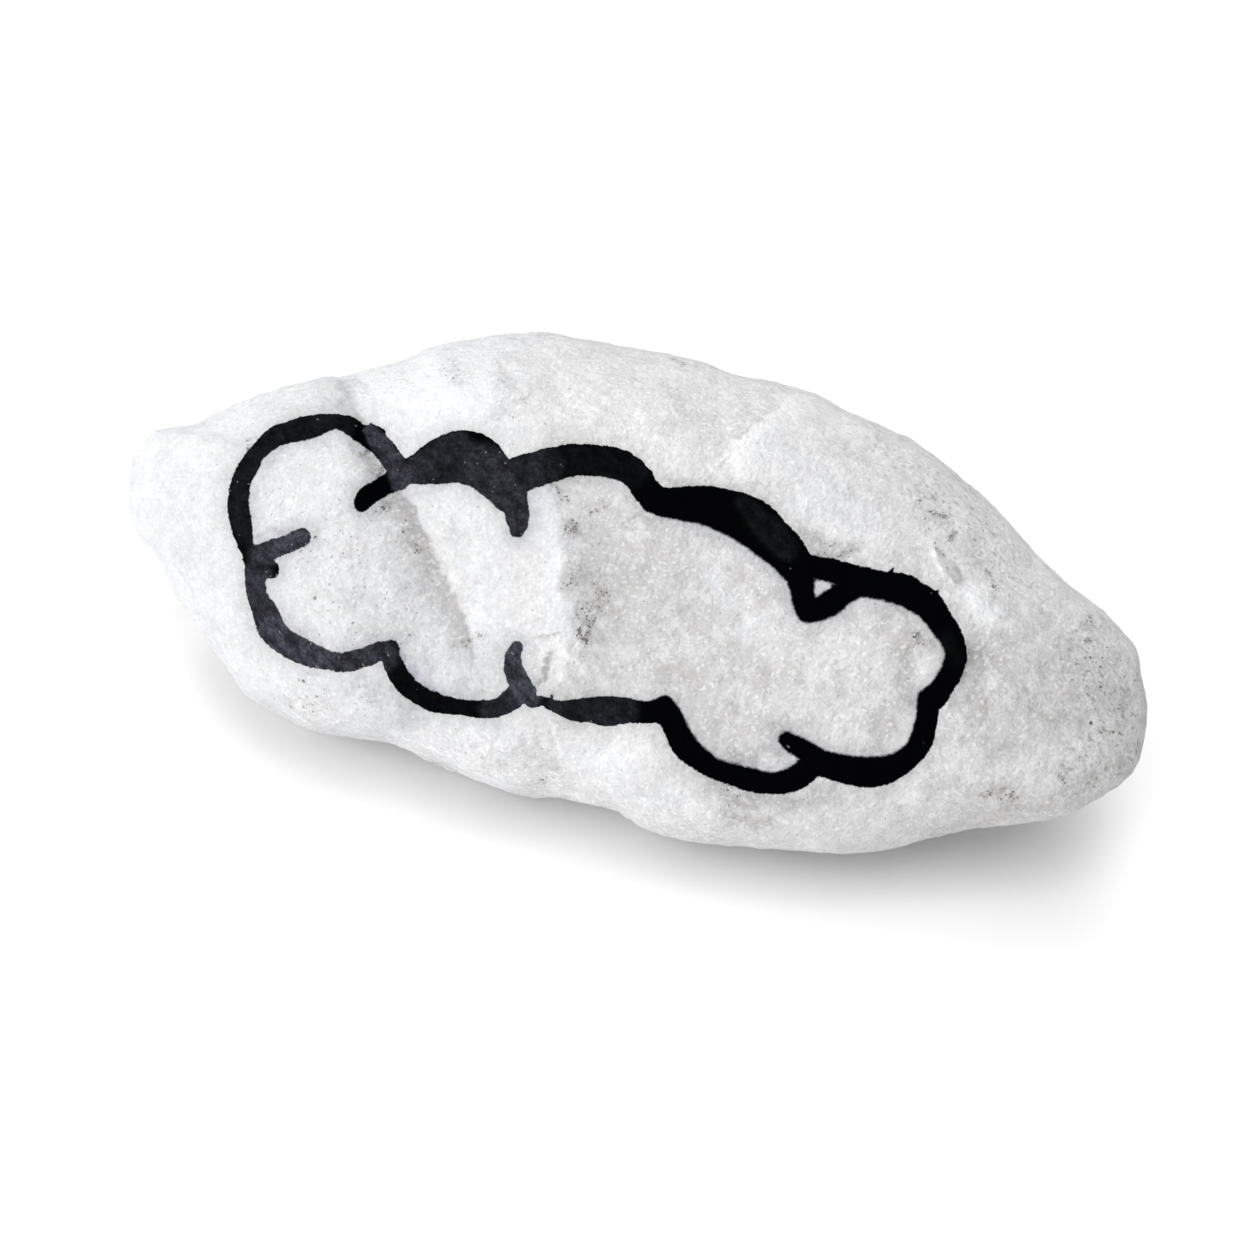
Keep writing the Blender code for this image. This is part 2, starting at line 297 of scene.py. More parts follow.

# Soft patches of tone, partly painted shade and painted light where the relief turns away from or
# toward the lamps, partly the rock's own lighter and darker patches: strength (light above 0),
# softness, and a band x, y, width
SHADE_AND_TONES_PX = {
    # Painted shade on the slope beside the crease, which turns away from the light
    "slope beside the crease": (-0.42, 16, [
        (350, 392, 20), (362, 430, 26), (385, 500, 44), (412, 560, 44), (440, 620, 36)]),
    "grey right of the ridge": (-0.42, 22, [
        (622, 500, 24), (604, 528, 60), (622, 600, 90), (655, 560, 110), (700, 600, 90)]),
    "grey inside the right lobes": (-0.28, 32, [
        (640, 600, 130), (720, 650, 150), (800, 680, 130), (880, 650, 110)]),
    "clouds in the middle": (0.38, 12, [(700, 552, 16), (718, 580, 22), (722, 612, 14)]),
    "between the clouds": (0.28, 12, [(682, 580, 10), (682, 612, 10)]),
    "cloud near the right lobe": (0.40, 8, [(748, 625, 8), (768, 612, 10), (786, 600, 6)]),
    "top of the left end": (0.20, 20, [(372, 372, 20), (420, 400, 70), (460, 412, 40)]),
    "grey beside the top": (-0.62, 12, [(506, 372, 16), (506, 405, 22)]),
    "left lobe near the slope": (-0.44, 22, [(345, 540, 26), (362, 580, 40), (376, 630, 46)]),
    "right of the crease": (-0.34, 12, [(424, 490, 16), (444, 530, 24), (464, 595, 24)]),
    "above the lower middle": (-0.60, 16, [
        (615, 672, 24), (660, 670, 40), (705, 698, 40), (735, 738, 26), (790, 735, 20)]),
    "under the third upper lobe": (-0.38, 10, [(612, 512, 14), (650, 522, 14)]),
    "left of the right lobe": (-0.72, 14, [(742, 558, 16), (770, 596, 22)]),
    "right side inside the right lobe": (-0.80, 16, [
        (885, 612, 24), (908, 650, 34), (896, 700, 34), (872, 742, 22)]),
    "above the fourth upper lobe": (-0.68, 12, [(680, 484, 16), (745, 492, 16)]),
    "right of the right lobe": (-0.70, 16, [
        (985, 640, 24), (980, 690, 40), (966, 735, 36), (1000, 745, 26)]),
    "bright low rim": (0.34, 14, [(480, 772, 24), (530, 778, 34), (600, 795, 22)]),
    "bright low rim, right": (0.34, 12, [(640, 816, 16), (700, 816, 20)]),
    "tip": (-0.18, 20, [(165, 470, 40), (200, 560, 40)]),
    "top of the crease": (0.50, 8, [(356, 400, 10), (360, 428, 12)]),
    # Painted light along the upper rim, which the lamps leave greyer
    "upper right edge": (0.70, 12, [
        (790, 392, 10), (815, 405, 16), (836, 424, 24), (862, 434, 14)]),
    "upper right edge, lower": (0.60, 10, [(1005, 525, 10), (1045, 565, 12)]),
    "left of the lower right lobe": (-0.56, 12, [
        (714, 676, 14), (738, 650, 22), (760, 668, 26), (792, 676, 18)]),
    "right of the bright spot": (-0.62, 12, [(1010, 640, 26), (1045, 620, 12)]),
    # Painted light along the right rim, and painted shade just inside it
    "right rim": (0.50, 10, [(1132, 650, 10), (1138, 710, 16), (1128, 745, 12)]),
    "inside the right rim": (-0.40, 12, [(1100, 690, 16), (1100, 725, 12)]),
    "below the middle hook": (-0.50, 10, [(556, 735, 14), (560, 768, 14)]),
    "beside the middle hook": (-0.65, 8, [(532, 655, 10), (540, 680, 10)]),
    "left of the ridge": (0.40, 6, [(556, 548, 6), (560, 575, 8), (561, 600, 6)]),
    "above the left inner tick": (-0.75, 8, [(262, 538, 12), (285, 530, 10)]),
    "left of the second lower lobe": (-0.52, 10, [
        (350, 685, 12), (380, 690, 20), (408, 715, 14)]),
    "above the third lower lobe": (-1.0, 8, [(735, 758, 12), (768, 764, 14), (790, 760, 8)]),
    "above the second lower lobe": (-0.45, 10, [(398, 600, 16), (412, 655, 22), (428, 690, 12)]),
    "beside the left upper lobe": (0.28, 8, [(262, 475, 8), (258, 436, 8)]),
    "above the third upper lobe": (0.22, 10, [(545, 440, 10), (600, 434, 14)]),
    "bright plane": (-0.18, 22, [(515, 500, 50), (520, 560, 70), (520, 620, 70)]),
    "beside the end of the crease": (-0.5, 10, [(480, 645, 18), (484, 685, 20)]),
    # Painted light along the top edge
    "top edge": (0.10, 12, [(560, 352, 14), (680, 372, 12), (720, 385, 8)]),
    "left of the upper right patch": (-0.30, 14, [(690, 420, 30), (712, 450, 26)]),
    "upper right slope": (-0.22, 20, [(815, 500, 30), (870, 535, 40), (915, 545, 40)]),
    "right slope": (-0.36, 20, [(972, 550, 20), (1005, 605, 40)]),
    # Painted shadow where the lower rim comes close to the floor
    "low rim at the right": (-0.62, 14, [
        (925, 834, 6), (955, 826, 12), (1015, 812, 14), (1076, 796, 32), (1130, 745, 16)]),
    # Painted shade on the right end, which turns away from the light, over rock that is greyer there
    "right end": (-0.46, 40, [
        (985, 670, 50), (1020, 690, 110), (1070, 690, 120), (1110, 700, 90)]),
    "bright spot at the right": (1.05, 10, [(962, 596, 12), (982, 606, 20), (998, 612, 8)]),
    "dark spot beside the right lobe": (-2.2, 7, [(970, 650, 10), (975, 664, 8)]),
    "dark spot above the right lobe": (-1.1, 8, [(802, 534, 8), (820, 545, 12), (852, 554, 8)]),
    "low middle": (0.16, 18, [(580, 750, 30), (625, 775, 60)]),
    "low middle, right": (0.45, 14, [(674, 784, 24), (690, 808, 26)]),
    "beneath the third lower lobe": (-0.75, 9, [
        (715, 786, 16), (745, 806, 24), (770, 808, 20), (805, 799, 14), (832, 788, 18)]),
    "low right": (-0.20, 14, [(735, 808, 24), (770, 812, 30), (830, 815, 24)]),
    "low right end": (-0.35, 18, [(940, 792, 30), (1010, 790, 30)]),
    "below the second lower lobe": (0.16, 18, [(360, 720, 40), (470, 757, 40)]),
}

# Tones with one crisp side, mostly painted shade and painted highlights along creases, ridges, chips
# and hollows, with a few light and dark streaks and a vein of the rock: path x, y, tone; fading reach
# to its left and right
CRISP_SHADE_AND_TONES_PX = {
    # Painted shade on the dark side of the crease
    "dark side of the crease": (
        [(342, 380, 0), (352, 400, -0.35), (366, 428, -0.85), (381, 456, -0.8), (398, 488, -0.9),
         (414, 510, -1.3), (424, 530, -1.4), (436, 562, -0.9), (446, 583, -1.1),
         (455, 600, -0.8), (467, 626, -1.2), (472, 648, -1.0), (476, 670, 0)], 4, 30),
    # Painted highlight on the lit side of the crease
    "bright side of the crease": (
        [(350, 384, 0), (372, 422, 0.35), (398, 476, 0.35), (424, 520, 0.2), (446, 575, 0.15),
         (475, 636, 0.1), (482, 664, 0)], 40, 3),
    "edge of the light patch": (
        [(800, 390, 0), (786, 403, 0.8), (773, 414, 1.0), (758, 421, 1.1), (743, 435, 1.2),
         (731, 441, 1.5), (734, 452, 1.5), (728, 459, 1.4), (737, 467, 1.1), (743, 486, 0.5)], 26, 2),
    "dark side of the light patch": (
        [(790, 398, 0), (782, 404, -0.3), (771, 413, -0.5), (756, 420, -0.5), (741, 434, -0.5),
         (729, 441, -0.4), (726, 459, -0.4), (735, 470, 0)], 1, 18),
    "right side of the ridge": (
        [(548, 478, 0), (556, 500, -0.5), (565, 525, -0.6), (570, 555, -0.55), (574, 585, -0.5),
         (577, 615, -0.6), (570, 640, 0)], 2, 20),
    # Painted highlight along the crescent chip
    "crescent": (
        [(933, 546, 0), (935, 555, 1.6), (938, 566, 1.8), (945, 577, 1.6), (955, 586, 0.8),
         (962, 590, 0)], 6, 3),
    "notch at the top of the crease": (
        [(337, 372, 0), (341, 384, -0.55), (347, 397, -0.6), (354, 409, -0.3), (360, 418, 0)], 3, 14),
    "hollow beside the crescent": (
        [(952, 560, 0), (956, 570, -1.8), (959, 582, -1.8), (961, 592, 0)], 8, 8),
    "sliver at the crossing strokes": (
        [(370, 446, 0), (375, 454, 2.2), (383, 465, 2.4), (388, 472, 2.0), (391, 476, 0)], 3, 4),
    "streak beside the hook": (
        [(552, 652, 0), (549, 660, -2.6), (545, 670, -2.6), (541, 681, -2.3), (538, 690, 0)], 5, 5),
    "flat streak beside the hook": (
        [(528, 640, 0), (541, 637, -1.8), (556, 634, -1.8), (568, 632, 0)], 2, 2),
    "light streak beside the hook": (
        [(552, 640, 0), (560, 650, 2.0), (572, 660, 2.2), (582, 670, 1.8), (590, 682, 0)], 5, 6),
    "sliver under the tip of the right lobe": (
        [(936, 592, 0), (941, 595, 2.0), (950, 599, 1.6), (960, 602, 0)], 2, 3),
    "vein below the strokes": (
        [(545, 712, 0), (549, 722, 1.5), (555, 735, 1.6), (561, 748, 1.5), (566, 760, 0)], 3, 3),
}

# Parts that are warmer, above 0, or cooler than the rest: amount and a band x, y, width
WARM_PX = {
    "slope beside the crease": (0.9, [
        (366, 430, 24), (380, 480, 30), (410, 530, 36), (445, 595, 30), (465, 645, 20)]),
    "left lobe": (0.35, [(340, 540, 60), (390, 600, 60)]),
    "main ridge": (-0.5, [(545, 500, 30), (557, 570, 34), (562, 630, 30)]),
    "light patch": (-0.5, [(765, 445, 50), (800, 480, 70), (860, 520, 50)]),
    "clouds in the middle": (-0.8, [(700, 552, 16), (718, 580, 22), (722, 612, 14)]),
    "cloud near the right lobe": (-0.8, [(745, 640, 8), (770, 615, 12), (788, 600, 8)]),
    "bright spot": (-0.9, [(962, 596, 12), (982, 606, 20), (998, 612, 8)]),
    "low middle": (-0.6, [(580, 750, 30), (625, 775, 60), (665, 800, 40)]),
    "left rim": (0.35, [(160, 470, 40), (210, 560, 30), (250, 640, 24)]),
    "below the left strokes": (0.45, [(290, 700, 30), (400, 740, 50), (480, 762, 40)]),
}
# The rock goes from cool to warm between these places along x
WARM_FROM_PX = (430, 600)

# Warmth of the hidden sides: mean, and change either way
HIDDEN_WARMTH = 0.5
HIDDEN_WARMTH_CHANGE = 0.7

# Crowds of dark specks: x, y, reach in pixels, density
SPECKS_PX = [
    (339, 592, 16, 0.16), (379, 469, 6, 0.9), (379, 512, 6, 0.8), (452, 376, 14, 0.35),
    (408, 532, 14, 0.30), (442, 588, 10, 0.25), (467, 638, 10, 0.75), (559, 498, 9, 0.6),
    (576, 528, 12, 0.75), (581, 573, 7, 0.5), (594, 600, 11, 0.65), (583, 630, 12, 0.9),
    (578, 611, 9, 0.6), (680, 362, 6, 0.9), (936, 519, 9, 0.9), (945, 541, 6, 0.8),
    (984, 572, 6, 0.8), (993, 580, 6, 0.8), (920, 510, 12, 0.18), (914, 636, 7, 1.0),
    (920, 644, 6, 1.0), (967, 678, 5, 1.0), (972, 656, 7, 0.7), (824, 547, 8, 0.35),
    (842, 551, 9, 0.35), (1084, 618, 5, 0.7), (1077, 628, 8, 0.5), (1086, 645, 7, 0.8),
    (1110, 700, 60, 0.12), (978, 791, 9, 0.7), (996, 798, 9, 0.5), (1012, 801, 5, 1.0),
    (1063, 779, 11, 0.7), (1092, 780, 5, 0.8), (335, 575, 60, 0.11), (380, 615, 55, 0.10),
    (1000, 545, 40, 0.08), (960, 470, 40, 0.08), (735, 794, 14, 0.40), (270, 500, 60, 0.03),
    (310, 694, 26, 0.16), (362, 702, 20, 0.16), (500, 760, 60, 0.03), (390, 500, 14, 0.20),
    (367, 460, 7, 0.8), (418, 545, 7, 0.35), (402, 520, 7, 0.30), (608, 510, 10, 0.4),
    (246, 446, 4, 0.5), (543, 778, 5, 0.7),
]
# Shares of the reach where a crowd starts to thin and where it ends
CROWD_CORE = 0.5
CROWD_RIM = 1.3
HIDDEN_CROWD_DENSITY = 0.5

# Where short dark dashes run down to the right: bands x, y, width
DASHES_PX = {
    "right slope": [(850, 425, 14), (900, 460, 30), (960, 510, 50), (1010, 570, 40)],
    "right end": [(1070, 650, 40), (1110, 720, 90), (1090, 780, 60)],
}

# The band along the lower rim with most crystal flecks: x, y, width
FLECKED_PX = [(290, 715, 24), (360, 745, 40), (460, 768, 50), (580, 800, 50), (700, 830, 30)]

# Amounts of flecks in cool and in warm rock, in the band and on the hidden sides
ROCK_FLECKS = (0.75, 1.0)
BAND_FLECKS = 1.1
HIDDEN_FLECKS = 0.8

# Painted sheen: lighter, bluish parts of the paint where it turns toward the lamps: amount, softness,
# and a band x, y, width
PAINTED_SHEEN_PX = {
    "right of the crease": (0.50, 1.5, [
        (371, 431, 14), (378, 441, 19), (387, 452, 21), (396, 467, 22), (402, 484, 22)]),
    "start of the second upper lobe": (0.34, 6, [(406, 475, 24), (420, 470, 30)]),
    "second upper lobe": (0.24, 6, [(412, 473, 24), (450, 460, 60)]),
    "second upper lobe, right side": (0.36, 6, [(486, 470, 50), (502, 490, 44), (516, 520, 40)]),
    "start of the third lobe": (0.21, 6, [(515, 480, 40), (545, 468, 40)]),
    "rest of the third lobe": (0.05, 6, [(560, 462, 40), (630, 468, 40)]),
    "left inner tick": (0.62, 6, [(262, 553, 26), (300, 540, 26)]),
    "left lower lobe, upper part": (0.40, 6, [(256, 580, 34), (264, 612, 38)]),
    "left lower lobe": (0.66, 6, [(275, 632, 40), (300, 650, 40), (325, 660, 34)]),
    "left lower lobe, end": (0.46, 6, [(340, 661, 34), (380, 655, 34)]),
    "second lower lobe": (0.03, 6, [(402, 676, 36), (430, 700, 36), (470, 708, 36)]),
    "end of the second lower lobe": (0.27, 6, [(495, 708, 30), (515, 698, 30)]),
    "left upper lobe": (0.10, 6, [
        (240, 530, 34), (245, 475, 34), (290, 432, 36), (340, 424, 30)]),
    "middle inner hook": (0.68, 6, [(515, 650, 30), (514, 672, 32), (528, 695, 26)]),
    "lower middle": (0.20, 6, [(560, 706, 30), (615, 712, 44)]),
    "across the fourth lobe": (0.07, 3, [(742, 502, 14), (762, 522, 26), (786, 548, 26)]),
    "right lobe": (0.03, 5, [(946, 638, 16), (955, 660, 16)]),
}

# Where ink has bled into the rock inside the cloud: amount and a band x, y, width
BLEED_PX = {
    "second lower lobe": (1.0, [(394, 648, 8), (404, 668, 16), (420, 686, 12), (440, 694, 6)]),
    "left upper lobe": (0.4, [(262, 500, 6), (262, 470, 6), (276, 452, 8)]),
    "fourth upper lobe": (0.4, [(690, 530, 8), (740, 552, 10), (775, 585, 8)]),
    "right inner hook": (0.4, [(770, 745, 14), (785, 762, 14)]),
}
BLEED_EVERYWHERE = 0.25


def face_axes():
    """World directions of the face axes u, v and w."""
    sin_a, cos_a = math.sin(VIEW_AZIMUTH), math.cos(VIEW_AZIMUTH)
    sin_e, cos_e = math.sin(VIEW_ELEVATION), math.cos(VIEW_ELEVATION)
    u_axis = Vector((cos_a, sin_a, 0.0))
    v_axis = Vector((-sin_e * sin_a, sin_e * cos_a, cos_e))
    w_axis = Vector((sin_a * cos_e, -cos_a * cos_e, sin_e))
    return u_axis, v_axis, w_axis


U_AXIS, V_AXIS, W_AXIS = face_axes()


# Numbers on the mesh

def vertex_places(data):
    """Vertex coordinates as an array."""
    places = np.empty(len(data.vertices) * 3)
    data.vertices.foreach_get("co", places)
    return places.reshape(-1, 3)


def vertex_normals(data):
    """Vertex normals as an array."""
    normals = np.empty(len(data.vertices) * 3)
    data.vertex_normals.foreach_get("vector", normals)
    return normals.reshape(-1, 3)


def set_number(data, name, values):
    """Stores one number for each vertex."""
    layer = data.attributes.new(name, "FLOAT", "POINT")
    layer.data.foreach_set("value", np.asarray(values, dtype=np.float32))


def smooth_step(low, high, values):
    """Goes from 0 at low to 1 at high with level ends."""
    share = np.clip((values - low) / (high - low), 0.0, 1.0)
    return share * share * (3 - 2 * share)


def between(pair, share):
    """The value that lies a share of the way from the first to the second of a pair."""
    return pair[0] + (pair[1] - pair[0]) * share


def picture_points(places):
    """Where world points fall in the picture, in pixels."""
    offset = places - np.array(FACE_ORIGIN)
    u, v, w = (offset @ np.array(axis) for axis in (U_AXIS, V_AXIS, W_AXIS))
    scale = VIEW_DISTANCE / (VIEW_DISTANCE - w) / PIXEL
    return np.stack([PICTURE_CENTRE + u * scale, PICTURE_CENTRE - v * scale], axis=1)


def fractal(places, length, octaves, shift=0.0):
    """Natural unevenness between about -1 and 1 at each place."""
    offset = Vector((shift, shift * 0.7, -shift))
    return np.array([noise.fractal(Vector(place) / length + offset, 1.0, 2.0, octaves)
                     for place in places])


def wander(places, length, octaves, shifts):
    """Uneven steps along x and y, between about -1 and 1, at each place."""
    return np.stack([fractal(places, length, octaves, shift) for shift in shifts], axis=1)


def on_curve(stroke):
    """A stroke with more points, on a smooth curve through the given ones."""
    points = np.array(stroke, dtype=float)
    before = np.vstack([2 * points[0] - points[1], points[:-2]])
    start, end = points[:-1], points[1:]
    after = np.vstack([points[2:], 2 * points[-1] - points[-2]])
    shares = np.arange(STROKE_STEPS)[:, None, None] / STROKE_STEPS
    square, cube = shares ** 2, shares ** 3
    curve = (start * (2 * cube - 3 * square + 1) + end * (3 * square - 2 * cube)
             + (end - before) / 2 * (cube - 2 * square + shares)
             + (after - start) / 2 * (cube - square))
    return np.vstack([curve.transpose(1, 0, 2).reshape(-1, points.shape[1]), points[-1:]])


def near_path(points, path):
    """For each point: distance to the path, side (1 left, -1 right), place along it."""
    path = np.array(path, dtype=float)
    best = np.full(len(points), np.inf)
    side = np.zeros(len(points))
    along = np.zeros(len(points))
    for index, (start, end) in enumerate(zip(path[:-1, :2], path[1:, :2])):
        run = end - start
        length = np.hypot(*run)
        share = np.clip((points - start) @ run / length ** 2, 0.0, 1.0)
        gap = points - (start + share[:, None] * run)
        distance = np.hypot(gap[:, 0], gap[:, 1])
        closer = distance < best
        cross = gap[:, 0] * run[1] - gap[:, 1] * run[0]
        best[closer] = distance[closer]
        side[closer] = (cross / np.maximum(length * distance, 1e-9))[closer]
        along[closer] = (index + share)[closer]
    return best, side, along


def stroke_edge(points, stroke):
    """Distance in pixels to the edge of a stroke, negative inside it."""
    curve = on_curve(stroke)
    distance, _, along = near_path(points, curve)
    widths = np.interp(along, np.arange(len(curve)), curve[:, 2])
    return distance - widths / 2


# The mesh

def dense_copy(cad):
    """A fine copy of the CAD solid, welded and subdivided."""
    mesh = bmesh.new()
    mesh.from_mesh(cad.data)
    bmesh.ops.remove_doubles(mesh, verts=mesh.verts, dist=1e-6)
    bmesh.ops.join_triangles(mesh, faces=mesh.faces, angle_face_threshold=math.radians(60),
                             angle_shape_threshold=math.radians(60))
    data = bpy.data.meshes.new("painted_stone")
    mesh.to_mesh(data)
    mesh.free()
    stone = bpy.data.objects.new("painted_stone", data)
    bpy.context.scene.collection.objects.link(stone)
    finer = stone.modifiers.new("finer", "SUBSURF")
    finer.levels = finer.render_levels = SUBDIVISION
    apply_modifiers(stone)
    return stone


def apply_modifiers(stone):
    """Replaces the mesh by its modified form."""
    view = bpy.context.evaluated_depsgraph_get()
    data = bpy.data.meshes.new_from_object(stone.evaluated_get(view))
    stone.modifiers.clear()
    stone.data = data


def edge_height(points, path, left_flank, right_flank):
    """Height, or tone with its painted shade and light, of one crisp edge at each picture point;
    flanks are in pixels.
    """
    distance, side, along = near_path(points, path)
    height = np.interp(along, np.arange(len(path)), [point[2] for point in path])
    flank = right_flank + (left_flank - right_flank) * (1 + side) / 2
    return height * np.maximum(1 - distance / flank, 0.0) ** 1.5


def lump_height(points, lumps):
    """Height of all small lumps and pits at each picture point."""
    height = np.zeros(len(points))
    for x, y, reach, rise in lumps:
        distance = np.hypot(points[:, 0] - x, points[:, 1] - y)
        height += rise * (1 - smooth_step(0.0, reach, distance))
    return height


def pit_depth(places, spacing, radius, chance):
    """Round pits, from 0 to 1 at their bottoms; the radius is a share of the spacing."""
    depth = np.zeros(len(places))
    for index, place in enumerate(places):
        distances, centres = noise.voronoi(Vector(place) / spacing)
        if distances[0] < radius and noise.cell(centres[0] * 7.0) < chance:
            depth[index] = 1 - (distances[0] / radius) ** 2
    return depth


def hidden_relief(places):
    """Worn ledges and shallow ridges for the sides that the picture doesn't show."""
    wave = fractal(places, length=0.016, octaves=3, shift=2.7) * LEDGE_COUNT
    step = np.floor(wave)
    ledges = step + smooth_step(0.25, 0.75, wave - step)
    fold = np.abs(fractal(places, length=0.012, octaves=4, shift=9.1))
    ridges = np.maximum(1 - fold * RIDGE_NARROWNESS, 0.0) ** 1.5
    return LEDGE_HEIGHT * ledges + RIDGE_HEIGHT * ridges


def refine_near_edges(stone):
    """Splits the faces near the crisp edges, so that these stay crisp."""
    mesh = bmesh.new()
    mesh.from_mesh(stone.data)
    middles = np.array([face.calc_center_median() for face in mesh.faces])
    turned = np.array([face.normal for face in mesh.faces]) @ np.array(W_AXIS)
    points = picture_points(middles)
    crisp = [*EDGES.values(), *CRISP_SHADE_AND_TONES_PX.values()]
    distance = np.min([near_path(points, path)[0] for path, _, _ in crisp], axis=0)
    near = (distance < REFINE_PX) & (turned > REFINED_FACING)
    faces = [face for face, chosen in zip(mesh.faces, near) if chosen]
    edges = list({edge for face in faces for edge in face.edges})
    bmesh.ops.subdivide_edges(mesh, edges=edges, cuts=1, use_grid_fill=True)
    bmesh.ops.triangulate(mesh, faces=mesh.faces)
    mesh.to_mesh(stone.data)
    mesh.free()


def add_relief(stone, box):
    """Moves the vertices to give the crisp edges, lumps, pits and roughness."""
    data = stone.data
    places = vertex_places(data)
    normals = vertex_normals(data)
    points = picture_points(places)
    turned = normals @ np.array(W_AXIS)
    facing = smooth_step(*RELIEF_FACING, turned)
    forms = sum(edge_height(points, *edge) for edge in EDGES.values()) * facing
    forms += lump_height(points, LUMPS_PX) * facing + lump_height(points, OUTLINE_LUMPS_PX)
    height = forms * HUNDREDTH_MM
    rough_places = 1 + MIDDLE_ROUGHNESS * soft_band(points, ROUGH_BAND_PX, softness=40)
    for size, amount, octaves in ROUGHNESS:
        height += amount * rough_places * fractal(places, size, octaves, shift=size * 1000)
    height += hidden_relief(places) * smooth_step(*HIDDEN_FACING, turned)
    height -= PIT_DEPTH * pit_depth(places, spacing=0.0019, radius=0.45, chance=0.5)
    resting = smooth_step(0.0, RESTING_HEIGHT, places[:, 2])
    places += normals * (height * resting)[:, None]
    data.vertices.foreach_set("co", fitted(places, box).ravel())
    data.update()


def fitted(places, box):
    """The places, scaled a trace so that they stay inside the box."""
    low, high = (np.array(corner) for corner in box)
    size = high - low
    start, reach = places.min(axis=0), np.ptp(places, axis=0)
    share = np.minimum((size - 2 * BOX_MARGIN) / reach, 1.0)
    inside = low + BOX_MARGIN + (size - 2 * BOX_MARGIN - reach * share) / 2
    inside[2] = low[2]
    return inside + (places - start) * share


def inside_cloud(points):
    """Tells which picture points lie inside the outline."""
    loop = np.vstack([np.array(STROKES_PX[name])[::turn, :2]
                      for name, turn in ROUND_THE_CLOUD])
    inside = np.zeros(len(points), dtype=bool)
    for (x0, y0), (x1, y1) in zip(loop, np.roll(loop, -1, axis=0)):
        level = (points[:, 1] < y0) != (points[:, 1] < y1)
        rise = y1 - y0 if y1 != y0 else 1.0
        crossing = x0 + (points[:, 1] - y0) * (x1 - x0) / rise
        inside ^= level & (points[:, 0] < crossing)
    return inside


def soft_band(points, band, softness):
    """A band along a path, 1 inside and fading to 0 past its sides."""
    return 1 - smooth_step(-softness, softness, stroke_edge(points, band))


def mark_paint(data, points, front):
    """Stores the distance to the paint's edge, its softness, the ink bleed and the painted sheen."""
    edge = np.min([stroke_edge(points, stroke) for stroke in STROKES_PX.values()], axis=0)
    edge = np.where(front > PAINTED_SHARE, edge * PIXEL, PAINT_REACH)
    set_number(data, "paint_edge", np.clip(edge, -PAINT_REACH, PAINT_REACH) * 1000)
    inside = inside_cloud(points) & (front > PAINTED_SHARE)
    at_right = smooth_step(*SOFTER_FROM_PX, points[:, 0])
    feather = np.where(inside, between(INNER_SOFTNESS, at_right), between(OUTER_SOFTNESS, at_right))
    set_number(data, "feather", feather)
    bleed = np.max([amount * soft_band(points, band, softness=8)
                    for amount, band in BLEED_PX.values()], axis=0)
    set_number(data, "bleed", inside * (BLEED_EVERYWHERE + bleed))
    # Painted sheen of the paint, where it faces the light
    painted_sheen = np.max([amount * soft_band(points, band, softness)
                    for amount, softness, band in PAINTED_SHEEN_PX.values()], axis=0)
    set_number(data, "painted_sheen", painted_sheen)


def mark_shade_and_tone(data, places, points, loose, crisp, front):
    """Stores how light the rock is, from soft patches and crisp edges that are largely painted shade
    and painted light, and from clouds of the rock's own tone.
    """
    tone = sum(strength * soft_band(loose, band, softness)
               for strength, softness, band in SHADE_AND_TONES_PX.values()) * front
    tone += sum(edge_height(crisp, *edge) for edge in CRISP_SHADE_AND_TONES_PX.values()) * front
    clouds = fractal(places, length=0.0026, octaves=3, shift=7.7)
    large_clouds = fractal(places, length=0.011, octaves=3, shift=5.5)
    at_right = smooth_step(*WARM_FROM_PX, points[:, 0])
    tone += between(FRONT_CLOUDS, at_right) * clouds * front
    tone += (HIDDEN_LARGE_CLOUDS * large_clouds + HIDDEN_CLOUDS * clouds) * (1 - front)
    # The tone attribute carries the painted shade and painted light along with the rock's own tone
    set_number(data, "tone", tone)


def mark_warmth(data, places, loose, front):
    """Stores how warm the rock is and how many pale flecks and painted glints it has."""
    warmth = smooth_step(*WARM_FROM_PX, loose[:, 0])
    warmth += sum(amount * soft_band(loose, band, softness=14)
                  for amount, band in WARM_PX.values())
    patches = fractal(places, length=0.014, octaves=3, shift=6.6)
    hidden_warmth = HIDDEN_WARMTH + HIDDEN_WARMTH_CHANGE * patches
    set_number(data, "warmth", between((hidden_warmth, warmth), front))
    flecks = between(ROCK_FLECKS, smooth_step(0.2, 1.0, warmth))
    flecks += BAND_FLECKS * soft_band(loose, FLECKED_PX, softness=20)
    set_number(data, "flecks", between((HIDDEN_FLECKS, flecks), front))


def mark_specks(data, places, loose, front):
    """Stores where dark specks crowd and where dashes run."""
    dashes = np.max([soft_band(loose, band, softness=30) for band in DASHES_PX.values()], axis=0)
    set_number(data, "dashes", dashes * front)
    crowd = np.zeros(len(loose))
    for x, y, reach, density in SPECKS_PX:
        distance = np.hypot(loose[:, 0] - x, loose[:, 1] - y)
        thinned = smooth_step(CROWD_CORE * reach, CROWD_RIM * reach, distance)
        crowd = np.maximum(crowd, density * (1 - thinned))
    patches = fractal(places, length=0.009, octaves=3, shift=1.9)
    hidden_crowd = HIDDEN_CROWD_DENSITY * smooth_step(0.35, 0.7, patches)
    set_number(data, "speck", between((hidden_crowd, crowd), front))


